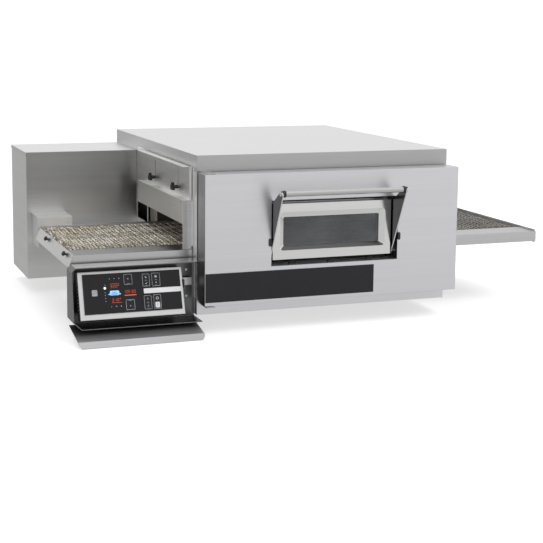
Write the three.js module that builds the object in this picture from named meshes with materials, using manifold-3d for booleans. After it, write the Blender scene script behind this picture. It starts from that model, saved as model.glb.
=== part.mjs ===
import * as THREE from 'three';
import { mergeVertices } from 'three/addons/utils/BufferGeometryUtils.js';
import Module from 'manifold-3d';

// Conveyor pizza oven. Millimetres, +Z up, +X is the direction of travel (entry at -X, exit at +X),
// the front door faces -Y. Drawn from the body's front left bottom corner, then shifted so that the
// origin is the middle of the base's underside.

// ---- driving dimensions
const WIDTH = 780;       // body, along the conveyor
const DEPTH = 930;
const HEIGHT = 452;      // base to top cover
const SHEET = 2;         // body sheet thickness
const FOLD = 1.5;        // sheet thickness of rails, trays and curtains
const PANEL = { z0: 45.3, z1: 404.9 };   // upright body panels
const BELT = { y0: 136, y1: 536, z: 166, radius: 15, thickness: 2.3, driveX: -316, idlerX: 1096 };
const CHAIN = { y0: 596, y1: 603, motorX: -262, shaftRadius: 16, motorRadius: 12 };
const SHAFT_RADIUS = 6;
const FAN = { x: WIDTH / 2, z: 225 };    // circulation fan axis
const TECH = { x0: -360, y0: 659, y1: 938 };   // technical compartment

const wasm = await Module();
wasm.setup();

// ---- solid helpers
const toSolid = (geometry) => {
  const bare = geometry.clone();
  bare.deleteAttribute('normal');
  bare.deleteAttribute('uv');
  const merged = mergeVertices(bare, 1e-4);
  return new wasm.Manifold(new wasm.Mesh({
    numProp: 3,
    vertProperties: new Float32Array(merged.attributes.position.array),
    triVerts: new Uint32Array(merged.index.array),
  }));
};
const toGeometry = (solid) => {
  const { vertProperties, triVerts } = solid.getMesh();
  const indexed = new THREE.BufferGeometry();
  indexed.setAttribute('position', new THREE.BufferAttribute(new Float32Array(vertProperties), 3));
  indexed.setIndex(new THREE.BufferAttribute(new Uint32Array(triVerts), 1));
  const flat = indexed.toNonIndexed();
  flat.computeVertexNormals();
  return flat;
};
const join = (...solids) => solids.reduce((sum, solid) => sum.add(solid));
const cut = (body, ...tools) => tools.reduce((rest, tool) => rest.subtract(tool), body);
const repeat = (count, make) => Array.from({ length: count }, (_, i) => make(i));
const vectors = (points) => points.map(([x, y]) => new THREE.Vector2(x, y));

const box = (x0, x1, y0, y1, z0, z1) => {
  const geometry = new THREE.BoxGeometry(x1 - x0, y1 - y0, z1 - z0);
  geometry.translate((x0 + x1) / 2, (y0 + y1) / 2, (z0 + z1) / 2);
  return toSolid(geometry);
};
// sheet box with one side open; bounds as for box
const SIDES = ['x0', 'x1', 'y0', 'y1', 'z0', 'z1'];
const openBox = (bounds, openSide) => {
  const inner = bounds.map((bound, i) => {
    const outward = i % 2 ? 1 : -1;
    return bound + outward * (SIDES[i] === openSide ? 1 : -SHEET);
  });
  return cut(box(...bounds), box(...inner));
};
const extrude = (outline, depth, axes, position, hole) => {
  const shape = new THREE.Shape(vectors(outline));
  if (hole) shape.holes.push(new THREE.Path(vectors(hole)));
  const geometry = new THREE.ExtrudeGeometry(shape, { depth, bevelEnabled: false });
  const directions = axes.map((axis) => new THREE.Vector3(...axis));
  geometry.applyMatrix4(new THREE.Matrix4().makeBasis(...directions).setPosition(...position));
  return toSolid(geometry);
};
// outline points are [y, z] for prismX and [x, z] for prismY
const prismX = (outline, x0, x1) => (
  extrude(outline, x1 - x0, [[0, 1, 0], [0, 0, 1], [1, 0, 0]], [x0, 0, 0])
);
const prismY = (outline, y0, y1, hole) => (
  extrude(outline, y1 - y0, [[1, 0, 0], [0, 0, 1], [0, -1, 0]], [0, y1, 0], hole)
);
// centre is [y, z], [x, z] or [x, y] for axis x, y or z
const cylinder = (axis, [first, second], radius, from, to, segments = 16) => {
  const geometry = new THREE.CylinderGeometry(radius, radius, to - from, segments);
  const middle = (from + to) / 2;
  if (axis === 'x') geometry.rotateZ(Math.PI / 2).translate(middle, first, second);
  if (axis === 'y') geometry.translate(first, middle, second);
  if (axis === 'z') geometry.rotateX(Math.PI / 2).translate(first, second, middle);
  return toSolid(geometry);
};
const fanBlades = ({ count, size, pitch, radius, centre }) => repeat(count, (i) => {
  const geometry = new THREE.BoxGeometry(...size);
  geometry.rotateX(pitch);
  geometry.translate(radius, 0, 0);
  geometry.rotateY((i * 2 * Math.PI) / count);
  geometry.translate(...centre);
  return toSolid(geometry);
});
// entry-side solids are mirrored for the exit
const ENDS = ['entry', 'exit'];
const atEnd = (end, solid) => (
  end === 'exit' ? solid.mirror([1, 0, 0]).translate([WIDTH, 0, 0]) : solid
);

// ---- materials
const standard = (options) => new THREE.MeshStandardMaterial(options);
const metal = (options) => standard({ metalness: 1, ...options });
const steel = metal({ name: 'brushed_stainless', color: 0xc9c9cb, roughness: 0.38 });
const bright = metal({ name: 'polished_stainless', color: 0xb9bcc0, roughness: 0.16 });
const satin = metal({ name: 'satin_stainless', color: 0xdadada, roughness: 0.45 });
const dark = metal({ name: 'heat_dulled_steel', color: 0x5f5d5a, roughness: 0.5 });
const wire = metal({ name: 'belt_wire', color: 0xa59a86, roughness: 0.5 });
const black = standard({ name: 'black_plastic', color: 0x151517, roughness: 0.45 });
const charcoal = standard({ name: 'charcoal_panel', color: 0x2b2b30, roughness: 0.4 });
const glass = standard({
  name: 'tinted_glass', color: 0x3c4043, roughness: 0.08, transparent: true, opacity: 0.6,
});
const keypad = standard({ name: 'keypad_glass', color: 0x1b1b20, roughness: 0.12 });
const keyFilm = standard({ name: 'key_film', color: 0x24242a, roughness: 0.3 });
const enamel = standard({
  name: 'motor_enamel', color: 0x4a5058, roughness: 0.5, metalness: 0.1,
});
const rope = standard({ name: 'seal_rope', color: 0x8b8577, roughness: 0.9 });
const gear = standard({ name: 'control_gear', color: 0x30343a, roughness: 0.6 });

const oven = new THREE.Group();
oven.name = 'conveyor_pizza_oven';
const add = (name, material, solid) => {
  const geometry = toGeometry(solid);
  geometry.translate(-WIDTH / 2, -DEPTH / 2, 0);
  const mesh = new THREE.Mesh(geometry, material);
  mesh.name = name;
  oven.add(mesh);
};

// ---- body shell
const SKIRT = 47;        // depth of the top cover's skirt
const CURTAIN = {        // folded sheet, entry side
  outerX: -28, innerX: -8, y0: 46.3, y1: 540, z0: 254, ledgeZ: 321.5, z1: 417,
};
const STUD = { y: { front: 160, rear: 407 }, z: 346 };
const STUD_YS = Object.values(STUD.y);

add('base_pan', steel, openBox([0, WIDTH, 0, DEPTH, 0, 45], 'z1'));
add('front_frame', steel, cut(
  join(
    box(0, WIDTH, 0, 17.5, PANEL.z0, PANEL.z1),
    box(0, SHEET, 17, 28, PANEL.z0, PANEL.z1),
    box(WIDTH - SHEET, WIDTH, 17, 28, PANEL.z0, PANEL.z1),
  ),
  box(60, WIDTH - 60, -1, 19, 72, 382),
));

// raised top edge of a side panel, [y, z]
const SHOULDER = [
  [31.8, 404], [31.8, 411.5], [35, 415.6], [40, 418.3], [46.5, 419.6], [644.6, 419.6], [644.6, 404],
];
// each side panel carries the curtain's studs and a cheek in front of the curtain
const sidePanel = (...extraCuts) => join(
  cut(
    box(0, SHEET, 31.5, 927.7, PANEL.z0, PANEL.z1),
    box(-1, 3, 36, 560, 141, 190),
    box(-1, 3, 138, 522, 141, 300),
    ...extraCuts,
  ),
  prismX(SHOULDER, 0, SHEET),
  box(CURTAIN.outerX, 1, 44.5, 46, 181.5, 320),
  ...STUD_YS.map((y) => cylinder('x', [y, STUD.z], 3, -25, 1, 10)),
);
const chainCut = box(-1, 3, 530, 654, 186, 300);   // beside the drive cover
add('entry_side_panel', steel, sidePanel(chainCut));
add('exit_side_panel', steel, atEnd('exit', sidePanel()));

// two rows of vent slots
const vent = (x, z) => box(x, x + 80, 926, 932, z, z + 6);
add('rear_panel', steel, cut(
  box(0, WIDTH, DEPTH - SHEET, DEPTH, PANEL.z0, PANEL.z1),
  ...repeat(5, (i) => vent(150 + i * 100, 250)),
  ...repeat(5, (i) => vent(150 + i * 100, 280)),
));

// cut in the cover's skirt round each shoulder, [y, z]
const SKIRT_NOTCH = [
  [28.6, 400], [28.6, 405], [29.8, 411], [33, 416], [38.5, 419], [46, 420], [645, 420], [645, 400],
];
add('top_cover', satin, cut(
  openBox([0, WIDTH, 0, DEPTH, HEIGHT - SKIRT + 0.2, HEIGHT], 'z0'),
  prismX(SKIRT_NOTCH, -1, 3),
  prismX(SKIRT_NOTCH, WIDTH - 3, WIDTH + 1),
));

// ---- baking chamber, open at the front and where the conveyor passes
add('baking_chamber', dark, cut(
  openBox([40, WIDTH - 40, 20, 640, 62, 388], 'y0'),
  box(39, WIDTH - 39, 36, 560, 144, 296),
  cylinder('y', [FAN.x, FAN.z], 70, 630, 645, 24),
));

// open at the rear; plateZ is the underside of the pierced plate
const jetDuct = (z0, plateZ) => {
  const hole = (i, j) => (
    cylinder('z', [150 + i * 160, 180 + j * 160], 14, plateZ - 2, plateZ + 4, 8)
  );
  return cut(
    openBox([60, WIDTH - 60, 60, 620, z0, z0 + 52], 'y1'),
    ...repeat(4, (i) => repeat(3, (j) => hole(i, j))).flat(),
  );
};
add('upper_jet_duct', dark, jetDuct(322, 322));
add('lower_jet_duct', dark, jetDuct(76, 126));

// two side bars joined by five rods
const heatingElement = (z) => join(
  ...[100, WIDTH - 100].map((x) => box(x - 4, x + 4, 110, 590, z - 4, z + 4)),
  ...repeat(5, (i) => cylinder('x', [130 + i * 110, z], 3.5, 100, WIDTH - 100, 8)),
);
add('upper_heating_element', dark, heatingElement(348));
add('lower_heating_element', dark, heatingElement(102));

add('circulation_fan', dark, join(
  cylinder('y', [FAN.x, FAN.z], 66, 696, 698, 24),
  cylinder('y', [FAN.x, FAN.z], 14, 656, 712, 12),
  ...fanBlades({
    count: 8, size: [36, 34, 2], pitch: 0, radius: 46, centre: [FAN.x, 679.5, FAN.z],
  }),
));
add('fan_motor', enamel, join(
  cylinder('y', [FAN.x, FAN.z], 48, 716, 830, 20),
  box(FAN.x - 60, FAN.x + 60, 735, 815, 45.5, 200),
));

// ---- conveyor rails
const FRONT_RAIL = { x0: -338, x1: 1126, y: 40, z0: 149, z1: 181 };
const REAR_RAIL = { x0: -336, x1: 1124, y: 540, z0: 147.4, z1: 187 };
const LIP_X1 = 1121;      // exit end of both rails' lips
const SHAFT_HOLE = 6.3;
const bearing = (x, y0, y1) => cut(
  box(x - 11, x + 11, y0, y1, BELT.z - 12, BELT.z + 12),
  cylinder('y', [x, BELT.z], SHAFT_HOLE, y0 - 1, y1 + 1),
);
const frontRail = () => {
  const { x0, x1, y, z0, z1 } = FRONT_RAIL;
  return join(
    prismY([[-341, z1], [x1, z1], [x1, z0], [-354, z0]], y, y + FOLD),
    box(x0, LIP_X1, y + 1, 130, z1 - FOLD, z1),
    box(x0, LIP_X1, y + 1, 60, z0, z0 + FOLD),
    bearing(BELT.driveX, y + 1, 54),
    bearing(BELT.idlerX, y + 1, 54),
  );
};
const rearRail = () => {
  const { x0, x1, y, z0, z1 } = REAR_RAIL;
  return cut(
    join(
      box(x0, x1, y, y + FOLD, z0, z1),
      box(x0, LIP_X1, y + 1, 544.8, z1 - FOLD, z1),
      box(x0, LIP_X1, 527, y + 0.5, z0, z0 + FOLD),
      bearing(BELT.idlerX, y + 1, 554),
    ),
    cylinder('y', [BELT.driveX, BELT.z], 7, y - 1, y + 3),
    cylinder('y', [BELT.idlerX, BELT.z], SHAFT_HOLE, y - 1, 556),
  );
};
add('conveyor_rail_front', steel, frontRail());
add('conveyor_rail_rear', steel, rearRail());

// ---- belt, shafts and chain
// outline of a belt round two circles on the belt's axis height, x0 < x1
const loopOutline = (x0, radius0, x1, radius1, steps) => {
  const tangent = Math.acos((radius0 - radius1) / (x1 - x0));
  const arc = (x, radius, start, sweep) => repeat(steps + 1, (i) => {
    const angle = start + (sweep * i) / steps;
    return [x + radius * Math.cos(angle), BELT.z + radius * Math.sin(angle)];
  });
  return [
    ...arc(x0, radius0, tangent, 2 * Math.PI - 2 * tangent),
    ...arc(x1, radius1, -tangent, 2 * tangent),
  ];
};
// outer and inner are the band's faces, measured out from the two radii
const loopBand = ({ x0, radius0, x1, radius1, outer, inner, y0, y1, steps }) => {
  const outline = (offset) => loopOutline(x0, radius0 + offset, x1, radius1 + offset, steps);
  return prismY(outline(outer), y0, y1, outline(inner));
};
add('conveyor_belt', wire, loopBand({
  x0: BELT.driveX, radius0: BELT.radius, x1: BELT.idlerX, radius1: BELT.radius,
  outer: 0, inner: -BELT.thickness, y0: BELT.y0, y1: BELT.y1, steps: 10,
}));
add('belt_support_grid', dark, join(
  ...repeat(4, (i) => box(-285, 1065, 162 + i * 114, 166 + i * 114, 172, 177.6)),
  ...repeat(5, (i) => box(-284 + i * 335, -280 + i * 335, 150, 522, 170, 174)),
));

// shaft with four collars under the belt
const shaft = (x, y1) => {
  const y0 = 44;
  const collar = { radius: 12.2, halfWidth: 3 };
  const profile = [[0, y0], [SHAFT_RADIUS, y0]];   // [radius, y]
  for (const y of [192, 288, 384, 480]) {
    const start = y - collar.halfWidth;
    const end = y + collar.halfWidth;
    profile.push([SHAFT_RADIUS, start], [collar.radius, start]);
    profile.push([collar.radius, end], [SHAFT_RADIUS, end]);
  }
  profile.push([SHAFT_RADIUS, y1], [0, y1]);
  return toSolid(new THREE.LatheGeometry(vectors(profile), 12).translate(x, 0, BELT.z));
};
// one tooth: [fraction of the pitch, fraction of the radius]
const TOOTH = [[0, 0.82], [0.3, 0.82], [0.5, 1], [0.8, 1]];
const sprocket = (x, radius, teeth) => {
  const outline = repeat(teeth, (i) => TOOTH.map(([along, height]) => {
    const angle = ((i + along) * 2 * Math.PI) / teeth;
    return [x + radius * height * Math.cos(angle), BELT.z + radius * height * Math.sin(angle)];
  })).flat();
  return prismY(outline, CHAIN.y0, CHAIN.y1);
};
add('drive_shaft', bright, join(
  shaft(BELT.driveX, 620), sprocket(BELT.driveX, CHAIN.shaftRadius, 12),
));
add('idler_shaft', bright, shaft(BELT.idlerX, 553));
add('motor_sprocket', bright, join(
  cylinder('y', [CHAIN.motorX, BELT.z], 5, 590, 686, 12),
  sprocket(CHAIN.motorX, CHAIN.motorRadius, 9),
));
add('drive_chain', dark, loopBand({
  x0: BELT.driveX, radius0: CHAIN.shaftRadius, x1: CHAIN.motorX, radius1: CHAIN.motorRadius,
  outer: 3.5, inner: 0.6, y0: CHAIN.y0 + 1, y1: CHAIN.y1 - 1, steps: 12,
}));

// ---- crumb trays with their end plates
const TRAY = { y0: 62, y1: 520, z0: 145.5, z1: 147.2, lipZ: 148.4 };
const tray = (x0, x1, lipX) => join(
  box(x0, x1, TRAY.y0, TRAY.y1, TRAY.z0, TRAY.z1),
  box(lipX, lipX + FOLD, TRAY.y0, TRAY.y1, TRAY.z0, TRAY.lipZ),
);
// sloping end plate's section, [x, z]
const ENTRY_PLATE = [[-339, 182.5], [-341, 182.5], [-355, 147], [-353, 147]];
add('entry_crumb_tray', steel, join(
  prismY(ENTRY_PLATE, 42, 538),
  tray(-354.4, -12, -13.5),
));
add('exit_crumb_tray', steel, join(
  box(REAR_RAIL.x1 - 2, REAR_RAIL.x1, 42, 538, TRAY.z0, 186),
  tray(792, REAR_RAIL.x1, 792),
  box(1123, 1136, 250, 340, 152, 154),
));

const PLATE_TILT = Math.atan2(14, 35.5);   // run and rise of the entry plate
// [radius, distance out from the plate]
const KNOB_PROFILE = [[0, 0], [3.6, 0], [3.6, 3], [7, 4.2], [7, 9], [4.5, 11], [0, 11]];
const trayKnob = (y) => {
  const standoff = 0.45;
  const geometry = new THREE.LatheGeometry(vectors(KNOB_PROFILE), 12);
  geometry.rotateX(Math.PI / 2);
  geometry.rotateY(PLATE_TILT - Math.PI / 2);
  geometry.translate(
    -345.4 - standoff * Math.cos(PLATE_TILT), y, 171.5 + standoff * Math.sin(PLATE_TILT),
  );
  return toSolid(geometry);
};
add('entry_tray_knob_front', black, trayKnob(122));
add('entry_tray_knob_rear', black, trayKnob(387));

// ---- adjustable curtains: one folded sheet each, with slots over the studs
const curtain = () => {
  const { outerX, innerX, y0, y1, z0, ledgeZ, z1 } = CURTAIN;
  return cut(
    join(
      box(innerX, innerX + FOLD, y0, y1, ledgeZ - FOLD, z1),
      box(outerX, innerX + 1, y0, y1, z1 - FOLD, z1),
      box(outerX, innerX + 1, y0, y1, ledgeZ - FOLD, ledgeZ),
      box(outerX, outerX + FOLD, y0, y1, z0, ledgeZ),
      box(outerX, outerX + 6, y0, y1, z0, z0 + FOLD),
      box(innerX, -1.5, y0, y0 + FOLD, ledgeZ - FOLD, z1),
      box(innerX, -1.5, y1 - FOLD, y1, ledgeZ - FOLD, z1),
    ),
    ...STUD_YS.map((y) => (
      box(innerX - 1, innerX + 2, y - 3.5, y + 3.5, STUD.z - 6, STUD.z + 53)
    )),
  );
};
// three-lobed knob bored for the stud
const wingKnob = (y) => {
  const lobe = (i) => {
    const angle = Math.PI / 2 + (i * 2 * Math.PI) / 3;
    const centre = [y + 9 * Math.cos(angle), STUD.z + 9 * Math.sin(angle)];
    return cylinder('x', centre, 4.8, -28, -20.5, 8);
  };
  return cut(
    join(
      cylinder('x', [y, STUD.z], 7.5, -29, -19.5, 12),
      cylinder('x', [y, STUD.z], 5.6, -20, -9, 12),
      ...repeat(3, lobe),
    ),
    cylinder('x', [y, STUD.z], 3.4, -26, -8, 10),
  );
};
for (const end of ENDS) add(`${end}_curtain`, steel, atEnd(end, curtain()));
for (const end of ENDS) {
  for (const [place, y] of Object.entries(STUD.y)) {
    add(`${end}_wing_knob_${place}`, black, atEnd(end, wingKnob(y)));
  }
}

// ---- drive cover and technical compartment
const COOLING = { x: -110, z: 200 };     // cooling fan axis
add('drive_cover', satin, cut(
  openBox([-345, -238, 545.3, 658.7, 117, 213], 'y1'),
  cylinder('y', [BELT.driveX, BELT.z], 8, 544, 549),
));
add('technical_compartment', steel, cut(
  openBox([TECH.x0, -0.5, TECH.y0, TECH.y1, 0, PANEL.z1], 'x1'),
  cylinder('y', [CHAIN.motorX, BELT.z], 9, TECH.y0 - 2, TECH.y0 + 4, 12),
  cylinder('y', [COOLING.x, COOLING.z], 42, TECH.y1 - 4, TECH.y1 + 2, 20),
  ...repeat(6, (i) => box(-330, -210, TECH.y1 - 4, TECH.y1 + 2, 60 + i * 14, 66 + i * 14)),
));
add('gear_motor', enamel, join(
  box(CHAIN.motorX - 38, CHAIN.motorX + 38, 687, 770, BELT.z - 38, BELT.z + 38),
  cylinder('y', [CHAIN.motorX, BELT.z], 34, 765, 870, 16),
  box(CHAIN.motorX - 34, CHAIN.motorX + 34, 700, 760, 2.4, 130),
));
add('control_gear', gear, join(
  box(-190, -30, 700, 703, 60, 360),
  box(-180, -140, 702, 745, 250, 320),
  box(-125, -85, 702, 745, 250, 320),
  box(-170, -60, 702, 730, 120, 200),
));
add('cooling_fan', black, join(
  cylinder('y', [COOLING.x, COOLING.z], 13, 912, 932, 12),
  ...fanBlades({
    count: 5, size: [28, 12, 1.6], pitch: 0.5, radius: 24, centre: [COOLING.x, 922, COOLING.z],
  }),
));

// ---- front door
const DOOR = { front: -75.6, back: -12.6, z0: 40, z1: 406 };
const RECESS = { x0: 195, x1: 586, z0: 142, z1: 328 };   // window recess
const PIVOT = [-50, 165];                                // window flap axis, [y, z]
const HINGE = [18, -58];                                 // door axis, [x, y]
// the recess grown by a margin on its four edges
const recessBox = (margin, y0, y1) => box(
  RECESS.x0 - margin, RECESS.x1 + margin, y0, y1, RECESS.z0 - margin, RECESS.z1 + margin,
);
const doorSkin = () => {
  const pan = openBox([0, WIDTH, DOOR.front, DOOR.back, DOOR.z0, DOOR.z1], 'y1');
  const recessWall = cut(recessBox(SHEET, DOOR.front, -20.3), recessBox(0, -80, -10));
  const pierced = cut(
    cut(pan, recessBox(0, -80, -70)).add(recessWall),
    cylinder('z', HINGE, 4.6, 30, 410, 12),
    prismX([[-12, 39], [-12, 52], [-26, 39]], -1, 3),
  );
  return pierced.add(cylinder('x', PIVOT, 3.5, RECESS.x0 - 1, RECESS.x1 + 1, 12));
};
add('door_skin', steel, doorSkin());
add('door_inner_panel', bright, cut(
  box(3, WIDTH - 3, -20, -18, DOOR.z0 + 3, DOOR.z1 - 3),
  recessBox(5, -21, -17),
));
add('door_seal', rope, cut(
  box(44, WIDTH - 44, -17.7, -1.2, 56, 396),
  box(56, WIDTH - 56, -19, 0, 68, 384),
));
add('door_band', charcoal, box(1.5, 511.5, -77.2, -75.9, 49.5, 130.5));
const hinge = (plateZ, pinZ0, pinZ1) => join(
  box(6, 32, -70, -0.4, plateZ, plateZ + 3),
  cylinder('z', HINGE, 4, pinZ0, pinZ1, 12),
);
add('door_hinge_upper', bright, hinge(406.4, 393, 408));
add('door_hinge_lower', bright, hinge(33.5, 35, 56));

// ---- window flap on the door
const roundedRectangle = (x0, x1, z0, z1, radius) => {
  const steps = 4;
  const corners = [   // centre x, centre z, start angle in degrees
    [x1 - radius, z1 - radius, 0], [x0 + radius, z1 - radius, 90],
    [x0 + radius, z0 + radius, 180], [x1 - radius, z0 + radius, 270],
  ];
  return corners.flatMap(([x, z, start]) => repeat(steps + 1, (i) => {
    const angle = ((start + (90 * i) / steps) * Math.PI) / 180;
    return [x + radius * Math.cos(angle), z + radius * Math.sin(angle)];
  }));
};
// pressed bevel round the opening, and a rebate that holds the glass from behind
const windowFrame = () => {
  const rim = roundedRectangle(223.2, 553.5, 181.3, 293.9, 12);
  const opening = roundedRectangle(238, 534, 194.7, 276.8, 4);
  const atY = (outline, y) => outline.map(([x, z]) => [x, y, z]);
  return cut(
    box(203.5, 569, -63.6, -41.6, 157, 316),
    wasm.Manifold.hull([...atY(rim, -64.6), ...atY(opening, -55.6)]),
    prismY(opening, -56, -40),
    box(229, 543, -54.8, -40, 187, 284.5),
    cylinder('x', PIVOT, 4, 200, 575, 12),
  );
};
add('window_frame', bright, windowFrame());
add('window_glass', glass, box(229.3, 542.7, -54.5, -50.5, 187.3, 284.2));

const HANDLE = [-146, 355.3];            // handle axis, [y, z]
// side arm from the flap up to the handle, [y, z]
const ARM = [
  [-38, 158], [-38, 318], [-72, 319], [-139, 362.3],
  [-147, 363.3], [-154, 356.8], [-153, 349.8], [-58, 158],
];
add('window_carrier', dark, cut(
  join(
    prismX(ARM, 197, 200),
    prismX(ARM, 572.5, 575.5),
    cut(box(199, 573.5, -37, -35.5, 158, 318), box(242, 531, -38, -34, 190, 278)),
    box(199, 200, -39, -35.5, 160, 316),
    box(572.5, 573.5, -39, -35.5, 160, 316),
    cylinder('x', HANDLE, 7.6, 194, 198, 14),
    cylinder('x', HANDLE, 7.6, 574.5, 578.5, 14),
  ),
  cylinder('x', PIVOT, 4, 190, 590, 12),
));
add('window_handle', bright, cylinder('x', HANDLE, 7.75, 200.4, 572.1));
const collar = (x0, x1) => cut(
  cylinder('x', HANDLE, 9.8, x0, x1),
  cylinder('x', HANDLE, 8.2, x0 - 1, x1 + 1),
);
add('handle_collar_entry', black, collar(201.2, 207.5));
add('handle_collar_exit', black, collar(565, 571.3));

// ---- control panel, its housing and the sloping plate under it
// housing's outer and inner outlines, [x, z]
const HOUSING_OUTER = [
  [-0.6, -7], [-340, -7], [-363, 14], [-363, 150], [-352, 160], [-0.6, 160],
];
const HOUSING_INNER = [
  [5, -5], [-339.2, -5], [-361, 14.9], [-361, 149.2], [-351.2, 158], [5, 158],
];
const SLOPING_FRONT = [[-59, -7], [-34, 160], [-34, 170], [-70, 170], [-70, -7]];   // [y, z]
add('panel_housing', steel, join(
  cut(
    prismY(HOUSING_OUTER, -58, 25),
    prismY(HOUSING_INNER, -60, 23),
    prismX(SLOPING_FRONT, -370, 10),
  ),
  box(-46.4, -44.4, -30, 24, 84, 110),
  box(-46.4, -12, 10, 12, 86, 108),
  box(-13.5, -12, 10, 24, 86, 108),
));

// face coordinates: u along X, v up the face, w outwards; the face leans back
const FACE_TILT = THREE.MathUtils.degToRad(19);
const sine = Math.sin(FACE_TILT);
const cosine = Math.cos(FACE_TILT);
const faceBox = (...bounds) => box(...bounds);
const onFace = (solid) => solid.transform([
  1, 0, 0, 0,
  0, sine, cosine, 0,
  0, -cosine, sine, 0,
  0, -50, 18, 1,
]);
const KEY_GAP = 0.4;
const KEYS = {   // u0, u1, v0, v1 of each key's window
  up: [-216, -191, 90, 120],
  down: [-215, -189, 20.5, 50],
  top_left: [-164, -142, 82, 118],
  top_right: [-137, -112.5, 81.5, 119],
  bottom_left: [-163.5, -141, 18.5, 58],
  bottom_right: [-136.5, -114, 18.5, 59],
};
add('control_box', satin, onFace(faceBox(-342, -48, 0, 132, -27.5, 0)));
add('keypad_glass', keypad, onFace(cut(
  faceBox(-329.5, -55.5, 14.5, 124.5, 0.3, 3.3),
  ...Object.values(KEYS).map((key) => faceBox(...key, -1, 5)),
)));
for (const [name, [u0, u1, v0, v1]] of Object.entries(KEYS)) {
  const key = faceBox(u0 + KEY_GAP, u1 - KEY_GAP, v0 + KEY_GAP, v1 - KEY_GAP, 1.5, 3.7);
  add(`key_${name}`, keyFilm, onFace(key));
}

// bent plate section, [y, z]
const DEFLECTOR = [
  [20, -7.4], [-98, -29], [-114, -43], [-113, -44.2], [-97.2, -30.4], [20.3, -9],
];
// the plate's front edge is notched at both ends
add('heat_deflector', steel, cut(
  prismX(DEFLECTOR, -360, -8),
  prismY([[-361, -34], [-361, -50], [-350, -45]], -130, -90),
  prismY([[-7, -34], [-18, -45], [-7, -50]], -130, -90),
));

export default oven;
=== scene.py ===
# Looks for a conveyor pizza oven, built around its CAD pieces.
# The frame: x runs from the entry end (left) to the exit end (right), y from front to back, z up.
# Small parts are dimensioned in millimetres from the body's front left bottom corner.
import math

import bpy
import numpy as np
from mathutils import Matrix, Vector


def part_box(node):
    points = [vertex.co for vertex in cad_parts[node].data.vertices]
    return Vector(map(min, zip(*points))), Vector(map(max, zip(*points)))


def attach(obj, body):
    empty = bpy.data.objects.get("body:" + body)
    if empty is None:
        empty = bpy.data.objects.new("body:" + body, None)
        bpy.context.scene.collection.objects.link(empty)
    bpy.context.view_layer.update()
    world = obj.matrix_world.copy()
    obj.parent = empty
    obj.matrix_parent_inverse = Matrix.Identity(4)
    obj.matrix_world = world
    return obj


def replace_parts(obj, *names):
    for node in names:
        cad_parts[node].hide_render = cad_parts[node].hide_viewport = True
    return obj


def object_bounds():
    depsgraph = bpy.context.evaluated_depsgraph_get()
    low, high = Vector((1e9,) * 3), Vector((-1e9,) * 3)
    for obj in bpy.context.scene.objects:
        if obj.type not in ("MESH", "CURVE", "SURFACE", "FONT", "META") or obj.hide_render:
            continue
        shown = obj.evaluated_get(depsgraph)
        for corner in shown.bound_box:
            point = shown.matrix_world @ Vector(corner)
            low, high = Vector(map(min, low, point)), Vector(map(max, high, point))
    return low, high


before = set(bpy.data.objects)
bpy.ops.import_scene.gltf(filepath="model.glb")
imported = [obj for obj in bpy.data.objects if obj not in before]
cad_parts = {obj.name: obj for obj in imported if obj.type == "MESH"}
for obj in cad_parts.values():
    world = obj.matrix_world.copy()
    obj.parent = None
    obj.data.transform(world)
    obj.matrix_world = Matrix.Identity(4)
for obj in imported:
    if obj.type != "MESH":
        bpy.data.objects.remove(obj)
cad_lo, cad_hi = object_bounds()
MM = 0.001
ROOT = "oven"
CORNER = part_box("base_pan")[0]
BELT_PITCH = 0.0106       # m between two rows of the woven belt


def at(x, y, z):
    """The point at x, y, z millimetres from the body's corner."""
    return CORNER + Vector((x, y, z)) * MM


def in_mm(point):
    """A point of the frame in millimetres from the body's corner."""
    return [(value - start) / MM for value, start in zip(point, CORNER)]


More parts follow.
